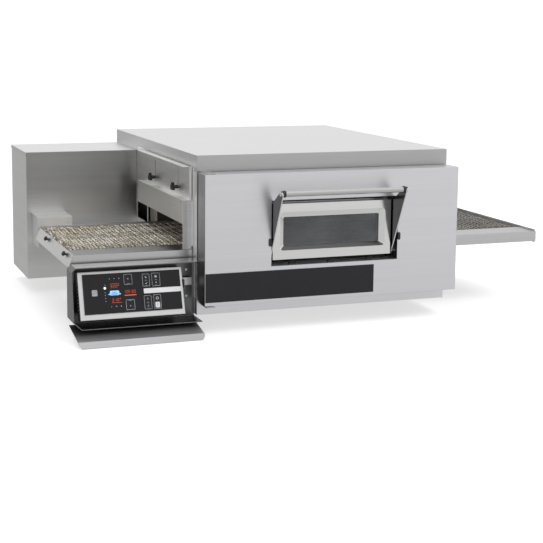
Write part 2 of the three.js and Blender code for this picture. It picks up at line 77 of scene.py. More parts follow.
# ------------------------------------------------------------------ shader nodes
class Tree:
    """Adds nodes to an emptied tree. An input takes a value or another node's socket."""

    def __init__(self, tree):
        self.tree = tree
        self.tree.nodes.clear()

    def node(self, kind, inputs, **settings):
        new = self.tree.nodes.new("ShaderNode" + kind)
        for key, value in settings.items():
            setattr(new, key, value)
        for key, value in inputs.items():
            if isinstance(value, bpy.types.NodeSocket):
                self.tree.links.new(value, new.inputs[key])
            else:
                new.inputs[key].default_value = value
        return new

    def socket(self, kind, inputs, **settings):
        return self.node(kind, inputs, **settings).outputs[0]

    def coords(self, kind="Object"):
        return self.node("TexCoord", {}).outputs[kind]

    def split(self, vector):
        return self.node("SeparateXYZ", {0: vector}).outputs

    def math(self, operation, a, b=None, clamp=False):
        inputs = {0: a} if b is None else {0: a, 1: b}
        return self.socket("Math", inputs, operation=operation, use_clamp=clamp)

    def add(self, a, b, clamp=False):
        return self.math("ADD", a, b, clamp)

    def times(self, a, b, clamp=False):
        return self.math("MULTIPLY", a, b, clamp)

    def minus(self, a, b):
        return self.math("SUBTRACT", a, b)

    def sine(self, angle):
        return self.math("SINE", angle, 0.0)

    def smooth(self, value, span, to=(0.0, 1.0)):
        """A smooth step from to[0] to to[1] while the value crosses the span."""
        inputs = {"Value": value, "From Min": span[0], "From Max": span[1],
                  "To Min": to[0], "To Max": to[1]}
        return self.socket("MapRange", inputs, interpolation_type="SMOOTHSTEP")

    def mix(self, factor, a, b):
        return self.socket("Mix", {0: factor, 2: a, 3: b}, data_type="FLOAT")

    def mix_vector(self, factor, a, b):
        return self.node("Mix", {0: factor, 4: a, 5: b}, data_type="VECTOR").outputs[1]

    def blend(self, factor, a, b, mode="MIX"):
        """Mixes two colours."""
        inputs = {0: factor, 6: a, 7: b}
        return self.node("Mix", inputs, data_type="RGBA", blend_type=mode).outputs[2]

    def shade(self, color, factor):
        return self.blend(1.0, color, factor, "MULTIPLY")

    def noise(self, vector, scale=1.0, detail=3.0, rough=0.55, stretch=None):
        """Noise over the vector, which stretch scales along each axis."""
        if stretch:
            vector = self.socket("Mapping", {"Vector": vector, "Scale": stretch})
        inputs = {"Vector": vector, "Scale": scale, "Detail": detail, "Roughness": rough}
        return self.socket("TexNoise", inputs)

    def bevel(self, radius_mm):
        return self.socket("Bevel", {"Radius": radius_mm * MM}, samples=4)

    def bump(self, height, strength, distance, **normal):
        inputs = {"Strength": strength, "Distance": distance, "Height": height}
        return self.socket("Bump", {**inputs, **normal})

    def mix_shader(self, factor, a, b):
        return self.socket("MixShader", {0: factor, 1: a, 2: b})

    def finish(self, shader, kind="OutputMaterial"):
        self.node(kind, {0: shader})

    def principled(self, inputs):
        self.finish(self.socket("BsdfPrincipled", inputs))


def new_material(name):
    material = bpy.data.materials.new(name)
    material.use_nodes = True
    return material, Tree(material.node_tree)


def srgb(*channels):
    """A linear colour from display values of 0 to 255."""
    def linear(c):
        return (c / 12.92) if c <= 0.04045 else ((c + 0.055) / 1.055) ** 2.4
    return (*(linear(c / 255) for c in channels), 1.0)


def grey(value):
    return (value, value, value, 1)


def tone(color, factor):
    return (*(min(1, c * factor) for c in color[:3]), 1.0)


# ------------------------------------------------------------------ kinds of material
def steel(name, color, rough, grain=0.10, aniso=0.5, bump=0.25, smudge=0.05, bevel=1.1,
          streak=0.05, metal=1.0, tint=None, front=1.0, side=1.0, top=1.0, top_from=0.6, edge=0.0):
    """Brushed sheet steel: the grain runs along x on front and top faces, along y on side faces.

    grain and smudge vary the roughness, streak the colour, and edge paints a highlight on the
    corners. front (and back), side and top multiply the colour of faces that look that way, as
    painted light and shade. A tuple grades this painted shade with height: (low z, high z, factor
    there below, factor there above). A face counts as top when its normal's z is over top_from.
    The bevel is in millimetres.
    """
    material, tree = new_material(name)
    texture = tree.node("TexCoord", {}).outputs
    place = texture["Object"]
    facing = tree.split(texture["Normal"])
    is_side = tree.math("GREATER_THAN", tree.math("ABSOLUTE", facing[0]), 0.6)

    def brushed(lengthwise, across, detail, rough):
        main = tree.noise(place, detail=detail, rough=rough, stretch=(lengthwise, across, across))
        sides = tree.noise(place, detail=detail, rough=rough, stretch=(across, lengthwise, across))
        return tree.mix(is_side, main, sides)

    fine = brushed(lengthwise=5, across=420, detail=6.0, rough=0.62)
    coarse = brushed(lengthwise=1.3, across=60, detail=3.0, rough=0.5)
    cloud = tree.noise(place, scale=5.5, detail=4.0, rough=0.6)
    spot = tree.noise(place, scale=23.0, detail=5.0, rough=0.7)

    streaks = tree.add(tree.times(fine, 0.6), tree.times(coarse, 0.4))
    base = tree.blend(tree.smooth(streaks, (0.36, 0.66)),
                      tone(color, 1 - streak), tone(color, 1 + streak * 0.6))
    if tint:
        base = tree.blend(tree.smooth(cloud, (0.42, 0.68), to=(0.0, 0.55)), base, tint)
    # painted light and shade: the colour is multiplied by the front, side and top factors of each
    # face
    if (front, side, top) != (1.0, 1.0, 1.0):
        height = tree.split(place)[2]

        def graded(factor):
            if isinstance(factor, tuple):
                return tree.smooth(height, factor[:2], to=factor[2:])
            return factor

        factor = tree.mix(is_side, graded(front), graded(side))
        is_top = tree.math("GREATER_THAN", facing[2], top_from)
        base = tree.shade(base, tree.mix(is_top, factor, graded(top)))
    rounded_normal = tree.bevel(bevel)
    # painted highlight: the colour turns lighter near corners, where the bevelled normal bends away
    if edge:
        true_normal = tree.node("NewGeometry", {}).outputs["Normal"]
        match = tree.node("VectorMath", {0: rounded_normal, 1: true_normal},
                          operation="DOT_PRODUCT").outputs["Value"]
        edge_highlight_mask = tree.smooth(match, (0.86, 0.99), to=(1.0, 0.0))
        base = tree.blend(tree.times(edge_highlight_mask, edge), base, (0.85, 0.85, 0.86, 1))

    roughness = tree.add(rough, tree.times(tree.minus(fine, 0.5), grain))
    roughness = tree.add(roughness, tree.times(tree.minus(cloud, 0.5), smudge * 2.2))
    spots = tree.smooth(spot, (0.58, 0.74), to=(0.0, smudge * 0.7))
    tangent = tree.socket(
        "VectorTransform", {0: tree.mix_vector(is_side, (0.0, 1.0, 1.0), (0.0, 0.0, 1.0))},
        vector_type="VECTOR", convert_from="OBJECT", convert_to="WORLD")
    tree.principled({
        "Metallic": metal,
        "Base Color": base,
        "Roughness": tree.add(roughness, spots, clamp=True),
        "Anisotropic": aniso,
        "Tangent": tangent,
        "Normal": tree.bump(fine, strength=bump, distance=0.00012, Normal=rounded_normal)})
    return material


def plastic(name, color, rough, bump=0.3, scale=900.0, spec=0.5, bevel=0.6, coat=0.0, vary=0.12,
            metallic=0.0):
    """Grained plastic, enamel or film; scale sizes the grain and vary spreads the colour."""
    material, tree = new_material(name)
    place = tree.coords()
    fine = tree.noise(place, scale=scale, detail=3.0, rough=0.6)
    cloud = tree.noise(place, scale=14.0, detail=4.0, rough=0.6)
    roughness = tree.add(rough - 0.06, tree.times(cloud, 0.12))
    fine_part = tree.times(tree.minus(fine, 0.5), 0.1)
    tree.principled({
        "Base Color": tree.blend(tree.smooth(cloud, (0.3, 0.7)),
                                 tone(color, 1 - vary), tone(color, 1 + vary)),
        "Roughness": tree.add(roughness, fine_part, clamp=True),
        "Specular IOR Level": spec,
        "Coat Weight": coat,
        "Coat Roughness": 0.04,
        "Metallic": metallic,
        "Normal": tree.bump(fine, strength=bump, distance=0.0001, Normal=tree.bevel(bevel))})
    return material


def glow(name, color, strength):
    """A lit segment or icon: emission broken up by fine noise, over dark glass."""
    material, tree = new_material(name)
    fine = tree.noise(tree.coords(), scale=1400.0, detail=2.0, rough=0.5)
    tree.principled({
        "Base Color": tone(color, 0.25),
        "Roughness": 0.25,
        "Emission Color": color,
        "Emission Strength": tree.times(tree.smooth(fine, (0.3, 0.6), to=(0.75, 1.1)), strength)})
    return material


def wire_material():
    """Belt wire with stains and spots, painted highlights and shade on the coils, painted shade
    inside the tunnel, and a greyer, darker painted tone at the exit end.
    """
    material, tree = new_material("mat_belt_wire")
    place = tree.coords()
    x, y, _ = tree.split(place)
    spot = tree.noise(place, scale=90.0, detail=4.0, rough=0.65)
    cloud = tree.noise(place, scale=9.0, detail=3.0, rough=0.55)
    color = tree.blend(tree.smooth(spot, (0.35, 0.68)), srgb(206, 197, 182), srgb(240, 235, 224))
    color = tree.blend(tree.smooth(cloud, (0.44, 0.66), to=(0.0, 0.55)), color,
                       srgb(188, 174, 154))
    # painted shade: darker and browner inside the tunnel
    painted_tunnel_shade = tree.times(tree.smooth(x, (-0.42, -0.36)), tree.smooth(x, (0.36, 0.42), to=(1.0, 0.0)))
    color = tree.blend(tree.times(painted_tunnel_shade, 0.55), color, srgb(120, 106, 92))

    # painted highlights on the coil crowns and painted shade in the hollows, staggered from row to
    # row
    patches = tree.noise(place, detail=1.0, rough=0.5, stretch=(88, 24, 88))
    across = tree.times(y, 2 * math.pi / 0.104)
    stagger = tree.add(tree.times(across, 0.35), tree.times(cloud, 5.0))
    along = tree.add(tree.times(x, 2 * math.pi / BELT_PITCH), stagger)
    rows = tree.times(tree.sine(along), tree.sine(across))
    painted_light_cells = tree.add(tree.times(tree.minus(patches, 0.5), 1.6), tree.times(rows, 0.6))
    color = tree.shade(color, tree.smooth(painted_light_cells, (-0.5, 0.5), to=(0.56, 1.74)))

    # painted light: a greyer tone, more highlight contrast and painted shade towards the exit end
    painted_exit_tone = tree.smooth(x, (0.40, 0.50), to=(0.0, 0.75))
    color = tree.blend(painted_exit_tone, color, srgb(196, 193, 188))
    color = tree.shade(color, tree.smooth(painted_light_cells, (-0.5, 0.5), to=(0.80, 1.12)))
    color = tree.shade(color, tree.smooth(x, (0.40, 0.62), to=(1.0, 0.50)))
    grain = tree.noise(place, scale=600.0, detail=2.0, rough=0.6)
    tree.principled({
        "Base Color": color,
        "Metallic": 0.55,
        "Roughness": tree.smooth(spot, (0.2, 0.8), to=(0.30, 0.52)),
        "Normal": tree.bump(grain, strength=0.3, distance=0.0002)})
    return material


def rope_material():
    """Braided seal rope: slanting bands, coloured and raised together."""
    material, tree = new_material("mat_seal_rope")
    braid = tree.node("TexWave", {"Vector": tree.coords(), "Scale": 110.0, "Distortion": 1.2},
                      wave_type="BANDS", bands_direction="DIAGONAL").outputs[1]
    tree.principled({
        "Base Color": tree.blend(braid, srgb(120, 112, 98), srgb(176, 168, 152)),
        "Roughness": 0.85,
        "Normal": tree.bump(braid, strength=0.8, distance=0.001)})
    return material


def glass_material():
    """Tinted window glass with a thin, uneven haze and mirror reflections."""
    material, tree = new_material("mat_window_glass")
    haze = tree.noise(tree.coords(), detail=4.0, rough=0.6, stretch=(3, 3, 9))
    clear = tree.socket("BsdfTransparent", {"Color": (0.42, 0.44, 0.46, 1)})
    dust = tree.socket("BsdfDiffuse", {"Color": (0.50, 0.52, 0.54, 1)})
    film = tree.mix_shader(tree.smooth(haze, (0.35, 0.7), to=(0.05, 0.12)), clear, dust)
    mirror = tree.socket("BsdfGlossy", {
        "Color": (1, 1, 1, 1), "Roughness": tree.smooth(haze, (0.3, 0.75), to=(0.02, 0.07))})
    fresnel = tree.socket("Fresnel", {"IOR": 1.5})
    tree.finish(tree.mix_shader(tree.times(fresnel, 1.15, clamp=True), film, mirror))
    return material


# ------------------------------------------------------------------ materials
SATIN = dict(rough=0.40, grain=0.08, aniso=0.4, bump=0.12, bevel=1.6, streak=0.02)
SHEET = dict(rough=0.36, bump=0.18, smudge=0.04, bevel=1.4)
POLISHED = dict(grain=0.06, aniso=0.2, bump=0.08, smudge=0.03, streak=0.03)
NARROW = dict(grain=0.12, bump=0.22, bevel=0.7)
# front, side and top are painted light and shade: they lighten or darken faces by the way they
# face; edge paints highlights on the corners
MAT = {
    # painted shade: top cover front, sides and top darkened by different amounts
    "top": steel("mat_top_cover", grey(0.90), smudge=0.03, front=0.61, side=0.73, top=0.79,
                 **SATIN),
    # painted light and shade: drive cover top and front lightened, sides darkened
    "cover": steel("mat_drive_cover", grey(0.80), smudge=0.04, front=1.05, side=0.84, top=1.2,
                   **SATIN),
    # painted shade: door sides darker towards the bottom, top faces darkened
    "door": steel("mat_door_steel", (0.80, 0.80, 0.83, 1), streak=0.025,
                  side=(0.04, 0.40, 0.16, 0.68), top=0.78, **SHEET),
    # painted shade: base sides darkened
    "base": steel("mat_base_steel", (0.84, 0.84, 0.86, 1), streak=0.03, side=0.6, **SHEET),
    # painted light: body sides lightened
    "body": steel("mat_body_steel", grey(0.76), rough=0.34, grain=0.12, bevel=1.2, side=1.2),
    # painted light and shade: compartment front lighter near the bottom and darker towards the top
    "box": steel("mat_compartment_steel", (0.68, 0.68, 0.67, 1), rough=0.33, grain=0.14,
                 aniso=0.55, smudge=0.06, bevel=1.6, front=(0.08, 0.33, 1.25, 0.50), side=0.97),
    # painted shade: curtain top faces darkened
    "curtain": steel("mat_curtain_steel", (0.90, 0.90, 0.88, 1), rough=0.34, grain=0.14,
                     smudge=0.08, bevel=1.0, top=0.9),
    # painted shade: rail top faces darkened
    "rail": steel("mat_rail_steel", grey(0.66), rough=0.30, top=0.70, **NARROW),
    # painted shade: crumb tray floor under the belt darkened strongly, higher top faces darkened
    # less
    "tray": steel("mat_tray_steel", (0.66, 0.66, 0.65, 1), rough=0.34,
                  top=(0.1480, 0.1500, 0.16, 0.8), **NARROW),
    # painted reflection and shade: housing front and sides darkened to a dark mirror look, low top
    # faces darkened; edge is a painted highlight on its lips
    "housing": steel("mat_panel_housing", (0.62, 0.62, 0.63, 1), rough=0.26, grain=0.08,
                     aniso=0.3, bump=0.15, bevel=1.3, front=0.26, side=0.08,
                     top=(0.05, 0.12, 0.08, 1.0), top_from=0.9, edge=0.6),
    # painted shade: deflector top darker near its root under the housing, full tone at the front
    # lip
    "deflector": steel("mat_deflector_steel", (0.62, 0.62, 0.63, 1), rough=0.48, grain=0.06,
                       aniso=0.3, bump=0.15, smudge=0.04, bevel=0.7, streak=0.04,
                       top=(-0.031, -0.009, 1.0, 0.10)),
    "mirror": steel("mat_folded_bright_steel", (0.56, 0.56, 0.57, 1), rough=0.14, grain=0.06,
                    aniso=0.3, bump=0.12, smudge=0.04, bevel=0.7),
    "polish": steel("mat_polished_steel", (0.83, 0.83, 0.82, 1), rough=0.16, bevel=1.6,
                    **POLISHED),
    # painted shade: window frame top faces and bevels darkened to dim their highlights, sides
    # darkened
    "frame": steel("mat_window_frame", (0.84, 0.84, 0.83, 1), rough=0.17, bevel=1.2, side=0.85,
                   top=(0.295, 0.312, 0.15, 0.06), top_from=0.35, **POLISHED),
    "handle": steel("mat_handle_steel", (0.56, 0.56, 0.55, 1), rough=0.14, grain=0.08, aniso=0.3,
                    bump=0.10, smudge=0.03, bevel=0.8, streak=0.04),
    # painted light and shade: arm fronts lightened, sides and tops darkened in the recess; edge is
    # a painted highlight
    "arm": steel("mat_arm_steel", (0.60, 0.60, 0.61, 1), rough=0.20, grain=0.06, aniso=0.2,
                 bump=0.10, smudge=0.04, bevel=0.4, front=1.3, side=0.17, top=0.08, edge=0.5),
    "dull": steel("mat_heat_dulled_steel", (0.58, 0.555, 0.52, 1), rough=0.46, grain=0.14,
                  bump=0.4, smudge=0.12, bevel=1.0, streak=0.10, metal=0.45,
                  tint=(0.36, 0.29, 0.22, 1)),
    "panel": steel("mat_control_face", grey(0.76), rough=0.36, grain=0.06, aniso=0.3, bump=0.10,
                   smudge=0.02, bevel=2.6, streak=0.02),
    "black": plastic("mat_black_plastic", (0.012, 0.012, 0.014, 1), rough=0.38, bump=0.35),
    "band": plastic("mat_charcoal_band", srgb(32, 32, 36), rough=0.34, bump=0.12, scale=1500,
                    bevel=0.5, vary=0.05, spec=0.25),
    "keypad": plastic("mat_keypad_glass", srgb(15, 15, 18), rough=0.18, bump=0.05, scale=700,
                      bevel=0.4, coat=0.12, vary=0.06, spec=0.3),
    "key": plastic("mat_key_film", srgb(25, 25, 30), rough=0.30, bump=0.10, scale=1800,
                   bevel=0.5, vary=0.05, spec=0.3),
    "motor": plastic("mat_motor_enamel", (0.07, 0.08, 0.10, 1), rough=0.4, bump=0.5, scale=300,
                     bevel=1.5),
    "gear": plastic("mat_control_gear", (0.03, 0.033, 0.04, 1), rough=0.5, bump=0.5, scale=500),
    "line": plastic("mat_printed_line", srgb(205, 207, 212), rough=0.4, bump=0.1),
    "grey": plastic("mat_grey_window", srgb(150, 150, 154), rough=0.35, bump=0.6, scale=700,
                    vary=0.2),
    "strip": plastic("mat_silver_strip", srgb(212, 212, 214), rough=0.32, bump=0.2, scale=600,
                     vary=0.03, metallic=0.2),
    "dark": plastic("mat_dark_gap", (0.006, 0.006, 0.007, 1), rough=0.6),
    "red": glow("mat_red_segments", (1.0, 0.10, 0.035, 1), strength=0.75),
    "redline": glow("mat_red_bar", (1.0, 0.16, 0.08, 1), strength=0.75),
    "ice": glow("mat_ice_symbol", (0.36, 0.66, 1.0, 1), strength=0.85),
    "blue": glow("mat_blue_symbol", (0.05, 0.22, 0.85, 1), strength=1.1),
    "led": glow("mat_lamp_dot", (0.12, 0.42, 0.62, 1), strength=0.9),
    "lit": glow("mat_lit_dot", (0.80, 0.93, 1.0, 1), strength=1.7),
    "screw": steel("mat_screw_steel", (0.70, 0.70, 0.71, 1), rough=0.25, aniso=0.2, bump=0.2,
                   bevel=0.5),
    "wire": wire_material(),
    "rope": rope_material(),
    "glass": glass_material(),
}

# the CAD pieces that take each material; the key_ pieces take "key"
PIECES = {
    "top": "top_cover",
    "door": "door_skin",
    "base": "base_pan",
    "body": "front_frame entry_side_panel exit_side_panel rear_panel",
    "box": "technical_compartment",
    "cover": "drive_cover",
    "curtain": "entry_curtain exit_curtain",
    "rail": "conveyor_rail_front conveyor_rail_rear",
    "tray": "entry_crumb_tray exit_crumb_tray",
    "dull": "baking_chamber upper_jet_duct lower_jet_duct upper_heating_element "
            "lower_heating_element circulation_fan belt_support_grid drive_chain",
    "arm": "window_carrier",
    "housing": "panel_housing",
    "deflector": "heat_deflector",
    "mirror": "door_hinge_upper door_hinge_lower",
    "polish": "drive_shaft idler_shaft motor_sprocket door_inner_panel",
    "frame": "window_frame",
    "handle": "window_handle",
    "black": "handle_collar_entry handle_collar_exit entry_tray_knob_front "
             "entry_tray_knob_rear entry_wing_knob_front entry_wing_knob_rear "
             "exit_wing_knob_front exit_wing_knob_rear cooling_fan",
    "band": "door_band",
    "glass": "window_glass",
    "keypad": "keypad_glass",
    "panel": "control_box",
    "motor": "fan_motor gear_motor",
    "gear": "control_gear",
    "rope": "door_seal",
    "wire": "conveyor_belt",
}
MATERIAL_OF = {name: key for key, names in PIECES.items() for name in names.split()}
for name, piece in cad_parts.items():
    key = "key" if name.startswith("key_") else MATERIAL_OF[name]
    piece.data.materials.clear()
    piece.data.materials.append(MAT[key])


# ------------------------------------------------------------------ meshes
def add_object(mesh, material, body):
    mesh.materials.append(MAT[material])
    new = bpy.data.objects.new(mesh.name, mesh)
    bpy.context.scene.collection.objects.link(new)
    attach(new, body)
    return new


def add_mesh(name, shape, material, body, smooth=False):
    """shape: (vertices, faces)."""
    mesh = bpy.data.meshes.new(name)
    mesh.from_pydata(shape[0], [], shape[1])
    mesh.update()
    if smooth:
        mesh.polygons.foreach_set("use_smooth", [True] * len(mesh.polygons))
    return add_object(mesh, material, body)


def merge(shapes):
    verts, faces = [], []
    for part_verts, part_faces in shapes:
        first = len(verts)
        verts += part_verts
        faces += [tuple(i + first for i in face) for face in part_faces]
    return verts, faces


def prism(outline, place, w0, w1):
    """A solid on an outline of (a, b) points, from w0 to w1; place(a, b, w) gives a point."""
    n = len(outline)
    verts = [place(a, b, w) for w in (w0, w1) for a, b in outline]
    faces = [tuple(range(n))[::-1], tuple(range(n, 2 * n))]
    faces += [(i, (i + 1) % n, n + (i + 1) % n, n + i) for i in range(n)]
    return verts, faces


def ring_prism(outer, inner, place, w0, w1):
    n = len(outer)
    verts = [place(a, b, w) for w in (w0, w1) for loop in (outer, inner) for a, b in loop]
    faces = []
    for i in range(n):
        j = (i + 1) % n
        faces += [(2 * n + i, 2 * n + j, 3 * n + j, 3 * n + i), (j, i, n + i, n + j),
                  (i, j, 2 * n + j, 2 * n + i), (n + j, n + i, 3 * n + i, 3 * n + j)]
    return verts, faces


def rectangle(u0, u1, v0, v1):
    return [(u0, v0), (u1, v0), (u1, v1), (u0, v1)]


def slab(x0, x1, y0, y1, z0, z1):
    return prism(rectangle(x0, x1, y0, y1), at, z0, z1)


def rounded(u0, u1, v0, v1, radius, steps=4):
    """A rectangle with round corners of the given steps."""
    corners = ((u1 - radius, v1 - radius, 0), (u0 + radius, v1 - radius, 90),
               (u0 + radius, v0 + radius, 180), (u1 - radius, v0 + radius, 270))
    points = []
    for u, v, start in corners:
        for i in range(steps + 1):
            angle = math.radians(start + 90 * i / steps)
            points.append((u + radius * math.cos(angle), v + radius * math.sin(angle)))
    return points


def disc(u, v, radius, steps, squash=1.0):
    angles = [2 * math.pi * i / steps for i in range(steps)]
    return [(u + radius * math.cos(a), v + radius * squash * math.sin(a)) for a in angles]


# (share of the radius, share of the height), from the rim up and into the dimple's centre
DOME_PROFILE = [(1.0, 0.0), (1.0, 0.45), (0.9, 0.75), (0.6, 0.95), (0.32, 1.0), (0.26, 0.55),
                (0.0, 0.5)]


def domed(centre, axis, radius, height, steps=18):
    """A low dimpled dome, like a pan screw head, standing on a point along an axis."""
    axis = Vector(axis).normalized()
    across = axis.orthogonal().normalized()
    beside = axis.cross(across)
    *rings, apex = DOME_PROFILE
    verts, faces = [], []
    for wide, high in rings:
        for i in range(steps):
            angle = 2 * math.pi * i / steps
            spoke = across * math.cos(angle) + beside * math.sin(angle)
            verts.append(centre + spoke * (radius * wide * MM) + axis * (height * high * MM))
    for k in range(len(rings) - 1):
        for i in range(steps):
            j = (i + 1) % steps
            faces.append((k * steps + i, k * steps + j, (k + 1) * steps + j, (k + 1) * steps + i))
    verts.append(centre + axis * (height * apex[1] * MM))
    last = (len(rings) - 1) * steps
    for i in range(steps):
        faces.append((last + i, last + (i + 1) % steps, len(verts) - 1))
    faces.append(tuple(range(steps))[::-1])
    return verts, faces


# ------------------------------------------------------------------ woven wire belt (metres)
belt_lo, belt_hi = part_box("conveyor_belt")
BELT_Z = (belt_lo.z + belt_hi.z) / 2
HALF_HEIGHT = (belt_hi.z - belt_lo.z) / 2
ENTRY_X = belt_lo.x + HALF_HEIGHT       # axes the belt turns about
EXIT_X = belt_hi.x - HALF_HEIGHT
TURN = HALF_HEIGHT - 0.00075            # radius at the weave's centre
STRAIGHT = EXIT_X - ENTRY_X
ARC = math.pi * TURN
LOOP = 2 * STRAIGHT + 2 * ARC
COIL_LIFT = 0.00105                     # of the wire, either side of the weave's centre
COIL_WIRE = 0.0011                      # radii
ROD_WIRE = 0.0006
COILS = 20                              # across the belt
SIDE_GAP = 0.0012                       # between the coils and the belt's edge
ROD_OVERHANG = 0.0004
HOOK = 0.0013                           # how far a coil reaches past its two rods


def on_loop(s, y, lift):
    """Points and outward normals at s along the loop, which starts on top at the entry end."""
    s = np.mod(s, LOOP)
    stretch = [s < STRAIGHT, s < STRAIGHT + ARC, s < 2 * STRAIGHT + ARC]
    exit_turn = (s - STRAIGHT) / TURN
    entry_turn = (s - 2 * STRAIGHT - ARC) / TURN
    nx = np.select(stretch, [0.0, np.sin(exit_turn), 0.0], -np.sin(entry_turn))
    nz = np.select(stretch, [1.0, np.cos(exit_turn), -1.0], -np.cos(entry_turn))
    axis_x = np.select(stretch, [ENTRY_X + s, EXIT_X, EXIT_X - (s - STRAIGHT - ARC)], ENTRY_X)
    x = axis_x + TURN * nx + nx * lift
    z = BELT_Z + TURN * nz + nz * lift
    points = np.stack([x, np.broadcast_to(y, s.shape), z], axis=-1)
    return points, np.stack([nx, np.zeros_like(nx), nz], axis=-1)


def tubes(points, normals, radius, sides, phase=0.0):
    """Open tubes along strands; points and normals are (strands, points, 3)."""
    strands, count, _ = points.shape
    tangents = np.empty_like(points)
    tangents[:, 1:-1] = points[:, 2:] - points[:, :-2]
    tangents[:, 0] = points[:, 1] - points[:, 0]
    tangents[:, -1] = points[:, -1] - points[:, -2]
    tangents /= np.linalg.norm(tangents, axis=2, keepdims=True)
    across = np.cross(tangents, normals)
    across /= np.maximum(np.linalg.norm(across, axis=2, keepdims=True), 1e-9)
    outward = np.cross(across, tangents)
    rings = []
    for k in range(sides):
        angle = phase + 2 * math.pi * k / sides
        rings.append(points + radius * (math.cos(angle) * outward + math.sin(angle) * across))
    verts = np.stack(rings, axis=2)
    index = np.arange(strands * count * sides).reshape(strands, count, sides)
    quads = []
    for k in range(sides):
        j = (k + 1) % sides
        quad = [index[:, :-1, k], index[:, :-1, j], index[:, 1:, j], index[:, 1:, k]]
        quads.append(np.stack(quad, axis=-1).reshape(-1, 4))
    return verts.reshape(-1, 3), np.concatenate(quads)


def quad_mesh(name, verts, quads):
    mesh = bpy.data.meshes.new(name)
    mesh.vertices.add(len(verts))
    mesh.vertices.foreach_set("co", np.asarray(verts, np.float32).ravel())
    mesh.loops.add(len(quads) * 4)
    mesh.loops.foreach_set("vertex_index", np.asarray(quads, np.int32).ravel())
    mesh.polygons.add(len(quads))
    mesh.polygons.foreach_set("loop_start", np.arange(0, len(quads) * 4, 4, dtype=np.int32))
    mesh.polygons.foreach_set("use_smooth", np.ones(len(quads), dtype=bool))
    mesh.update(calc_edges=True)
    mesh.validate()
    return mesh


def coil_wires(rows, y0, y1):
    """One flattened spiral a row, hooked round its own rod and the next."""
    rng = np.random.default_rng(5)
    pitch = LOOP / rows
    coil_width = (y1 - y0) / COILS
    row_s = np.arange(rows) * pitch
    coil = np.arange(COILS)
    s, y, lift = (np.empty((rows, COILS, 4)) for _ in range(3))
    row_shift = rng.normal(0, 0.00022, (rows, 1))
    # four points a coil (along the loop, share of the coil's width, side of the weave):
    # out on the outer side, wrap, back on the inner side, wrap
    turns = ((-HOOK, 0.02, 1), (pitch + HOOK, 0.46, 1), (pitch + HOOK, 0.54, -1), (-HOOK, 0.98, -1))
    for j, (along, share, level) in enumerate(turns):
        s[:, :, j] = row_s[:, None] + along + row_shift
        y[:, :, j] = (coil[None, :] + share) * coil_width
        lift[:, :, j] = level * COIL_LIFT
    odd = np.arange(rows) % 2 == 1
    y[odd] = (y1 - y0) - y[odd]
    y += y0 + rng.normal(0, 0.0003, (rows, 1, 1))
    # a slight waviness over the whole belt
    lift += 0.00025 * np.sin(row_s[:, None, None] * 31.0 + y * 9.0)
    # loose, curled coils within 30 mm of where the belt turns at the entry end
    distance = np.abs(np.mod(s + 0.5 * LOOP, LOOP) - (0.5 * LOOP - 0.004))
    near = np.clip(1 - distance / 0.030, 0, 1)
    curl = 0.0010 + 0.0026 * rng.random((rows, COILS, 1))
    lift += near * np.where(lift > 0, 1, 0) * curl
    s += near * rng.normal(0, 0.0016, (rows, COILS, 1))
    s, y, lift = (a.reshape(rows, COILS * 4) for a in (s, y, lift))
    return tubes(*on_loop(s, y, lift), COIL_WIRE, sides=4, phase=math.pi / 4)


def cross_rods(rows, y0, y1):
    ends = np.array([y0 - ROD_OVERHANG, y1 + ROD_OVERHANG])
    s = np.repeat((np.arange(rows) * (LOOP / rows))[:, None], 2, axis=1)
    return tubes(*on_loop(s, ends, np.zeros_like(s)), ROD_WIRE, sides=6)


def woven_belt():
    rows = 2 * round(LOOP / BELT_PITCH / 2)
    y0, y1 = belt_lo.y + SIDE_GAP, belt_hi.y - SIDE_GAP
    coil_verts, coil_quads = coil_wires(rows, y0, y1)
    rod_verts, rod_quads = cross_rods(rows, y0, y1)
    mesh = quad_mesh("woven_belt", np.concatenate([coil_verts, rod_verts]),
                     np.concatenate([coil_quads, rod_quads + len(coil_verts)]))
    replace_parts(add_object(mesh, "wire", ROOT), "conveyor_belt")


woven_belt()

# ------------------------------------------------------------------ control face (mm)
FACE_TILT = math.radians(19)            # the face leans back
TILT_SIN, TILT_COS = math.sin(FACE_TILT), math.cos(FACE_TILT)
LOW_EDGE_DEPTH = 0.0275                 # m from the face back to the box's lowest edge
control_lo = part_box("control_box")[0]
FACE_START = Vector((CORNER.x, control_lo.y, control_lo.z + LOW_EDGE_DEPTH * TILT_SIN))
GLASS = 3.3                             # height of the keypad glass over the face
FILM = 3.7                              # height of the key film
PRINT = 0.12                            # thicknesses
LIT_PRINT = 0.08
KEYS = {                                # left, right, bottom, top
    "up": (-216, -191, 90, 120), "down": (-215, -189, 20.5, 50),
    "top_left": (-164, -142, 82, 118), "top_right": (-137, -112.5, 81.5, 119),
    "bottom_left": (-163.5, -141, 18.5, 58), "bottom_right": (-136.5, -114, 18.5, 59),
}


def on_face(u, v, w):
    """u to the right of the body's left side, v up the face, w out of it."""
    return FACE_START + Vector((u, TILT_SIN * v - TILT_COS * w, TILT_COS * v + TILT_SIN * w)) * MM


def bar(u, v, width, height):
    return rectangle(u - width / 2, u + width / 2, v - height / 2, v + height / 2)


def triangle(u, v, size, up=True):
    way = 1 if up else -1
    foot = v - way * size * 0.6
    return [(u - size, foot), (u + size, foot), (u, v + way * size * 0.8)]


def turned(shape, centre, degrees):
    cos, sin = math.cos(math.radians(degrees)), math.sin(math.radians(degrees))
    u, v = centre
    return [(u + (a - u) * cos - (b - v) * sin, v + (a - u) * sin + (b - v) * cos)
            for a, b in shape]


def decal(name, material, shapes, body=ROOT, base=GLASS, thick=PRINT):
    shape = merge([prism(outline, on_face, base, base + thick) for outline in shapes])
    add_mesh(name, shape, MATERIAL_NAMES.get(material, material), body)


